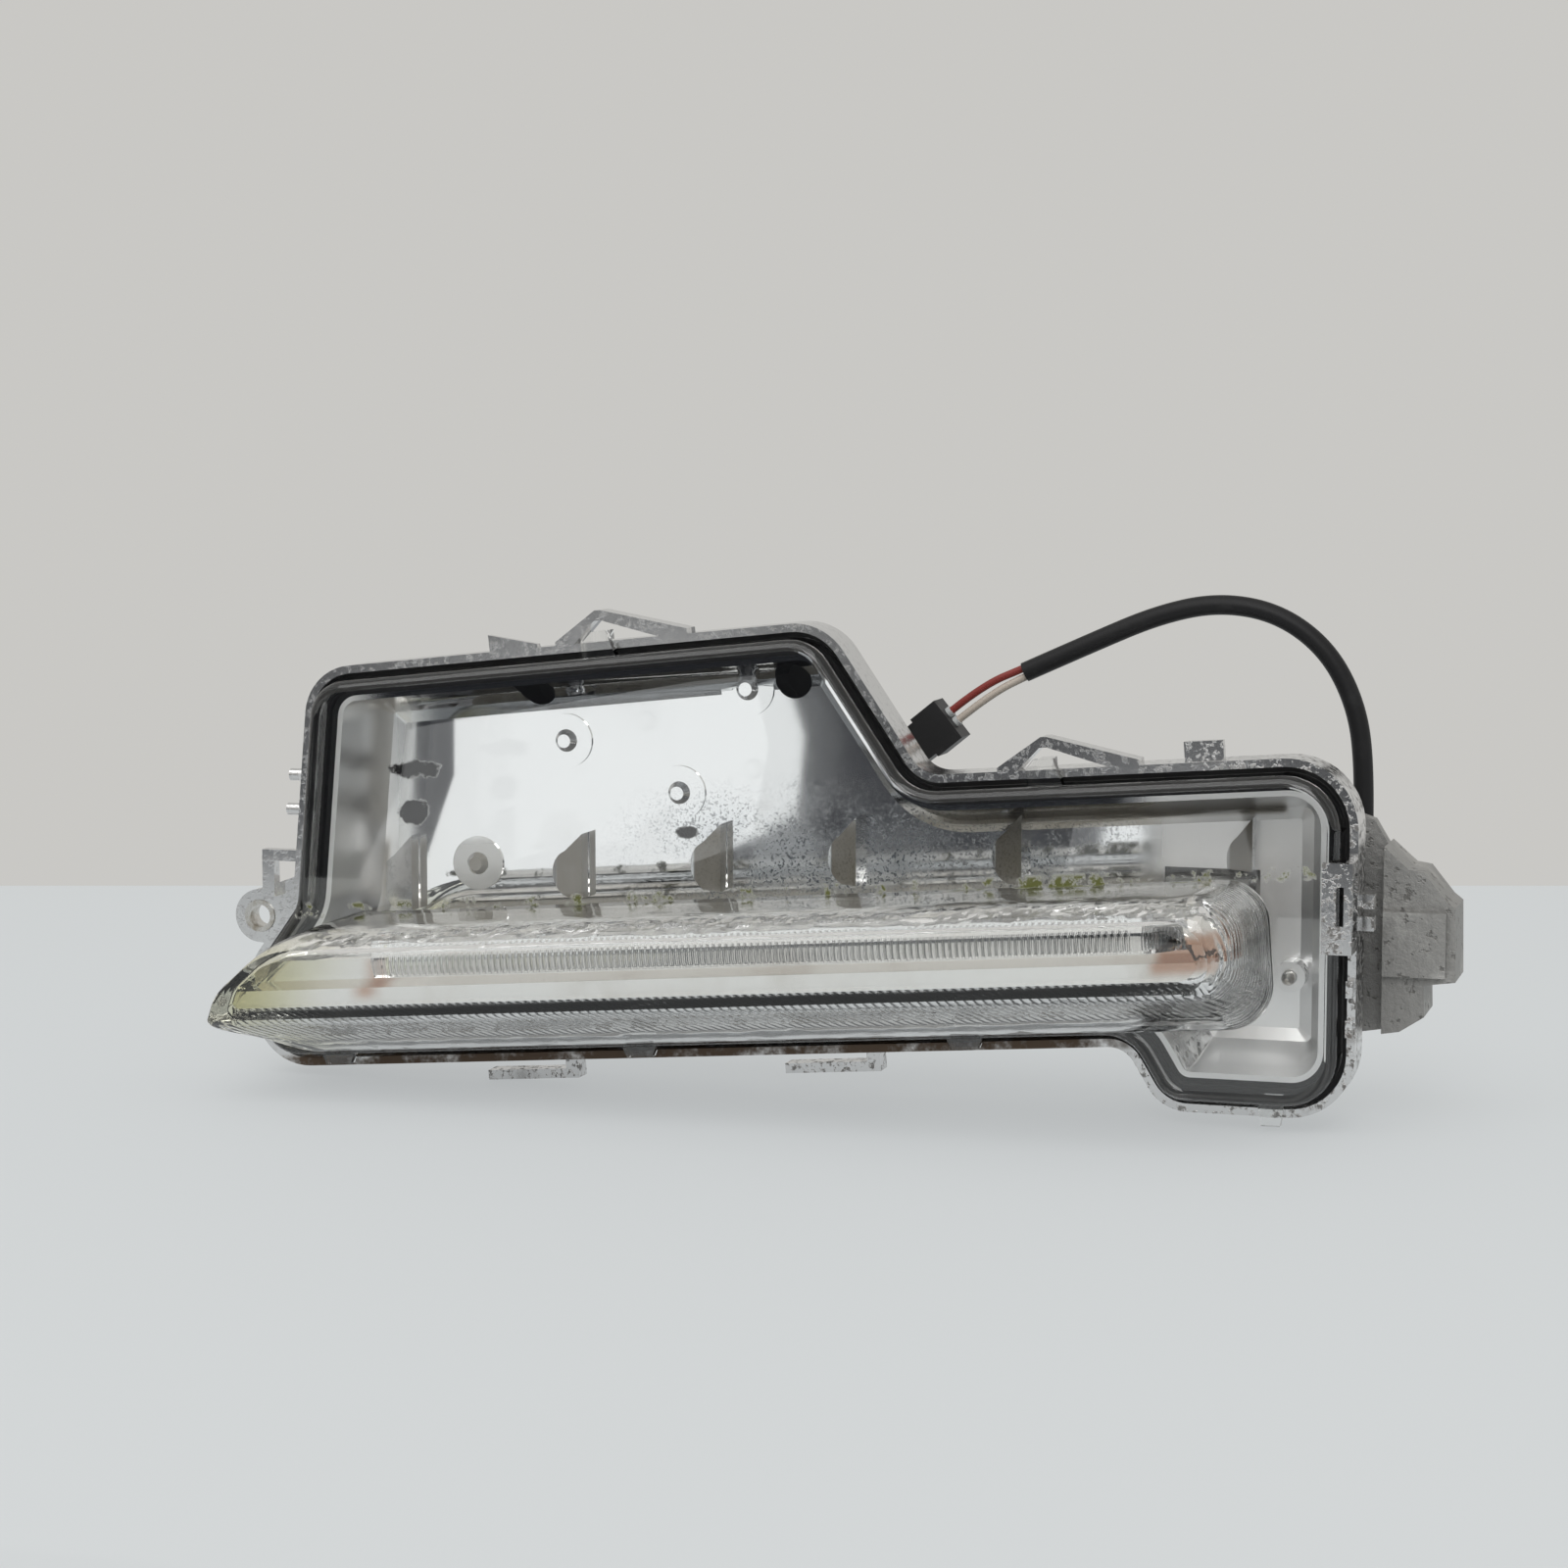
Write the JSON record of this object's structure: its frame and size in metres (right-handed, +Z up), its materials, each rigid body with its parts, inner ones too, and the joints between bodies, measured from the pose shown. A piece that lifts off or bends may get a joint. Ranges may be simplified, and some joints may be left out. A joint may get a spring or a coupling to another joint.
{
  "type": "auxiliary driving light",
  "caption": "Auxiliary driving light: clear lens with a blade-shaped nose on a stepped bright housing, light guide inside, cast heatsink at the side and a short wired plug.",
  "frame": {"origin": "middle of the fixing bush's front face, in the ear at the left", "axes": "+X to the right along the lamp, -Y to the front, out of the lens, +Z up"},
  "size_m": [0.2792, 0.081, 0.1118],
  "materials": {
    "metallised": "metallised",
    "clear": "clear",
    "guide_clear": "clear",
    "natural": "translucent",
    "bright_trim": "polished",
    "black_sealant": "matte",
    "black_rubber": "matte",
    "board": "solder mask",
    "emitter": "phosphor",
    "cast": "as cast",
    "steel": "plated",
    "pad": "soft",
    "sleeve": "satin",
    "red_wire": "satin",
    "white_wire": "satin",
    "black_plastic": "moulded",
    "brass": "plated"
  },
  "bodies": {
    "root": {"housing": "metallised", "ear_bush": "steel", "lens": "clear", "sealant_bead": "black_sealant", "light_guide": "guide_clear", "guide_carrier": "natural", "bezel": "bright_trim", "led_board": "board", "leds": "emitter", "board_screws": "steel", "thermal_pad": "pad", "heatsink": "cast", "heatsink_gasket": "black_rubber", "heatsink_screws": "steel", "cable_grommet": "black_rubber", "cable_sheath": "sleeve", "wire_red": "red_wire", "wire_white": "white_wire", "plug_body": "black_plastic", "plug_lock": "black_plastic", "plug_seals": "pad", "plug_terminals": "brass", "vent_cap_left": "black_rubber", "vent_cap_right": "black_rubber"}
  },
  "joints": []
}
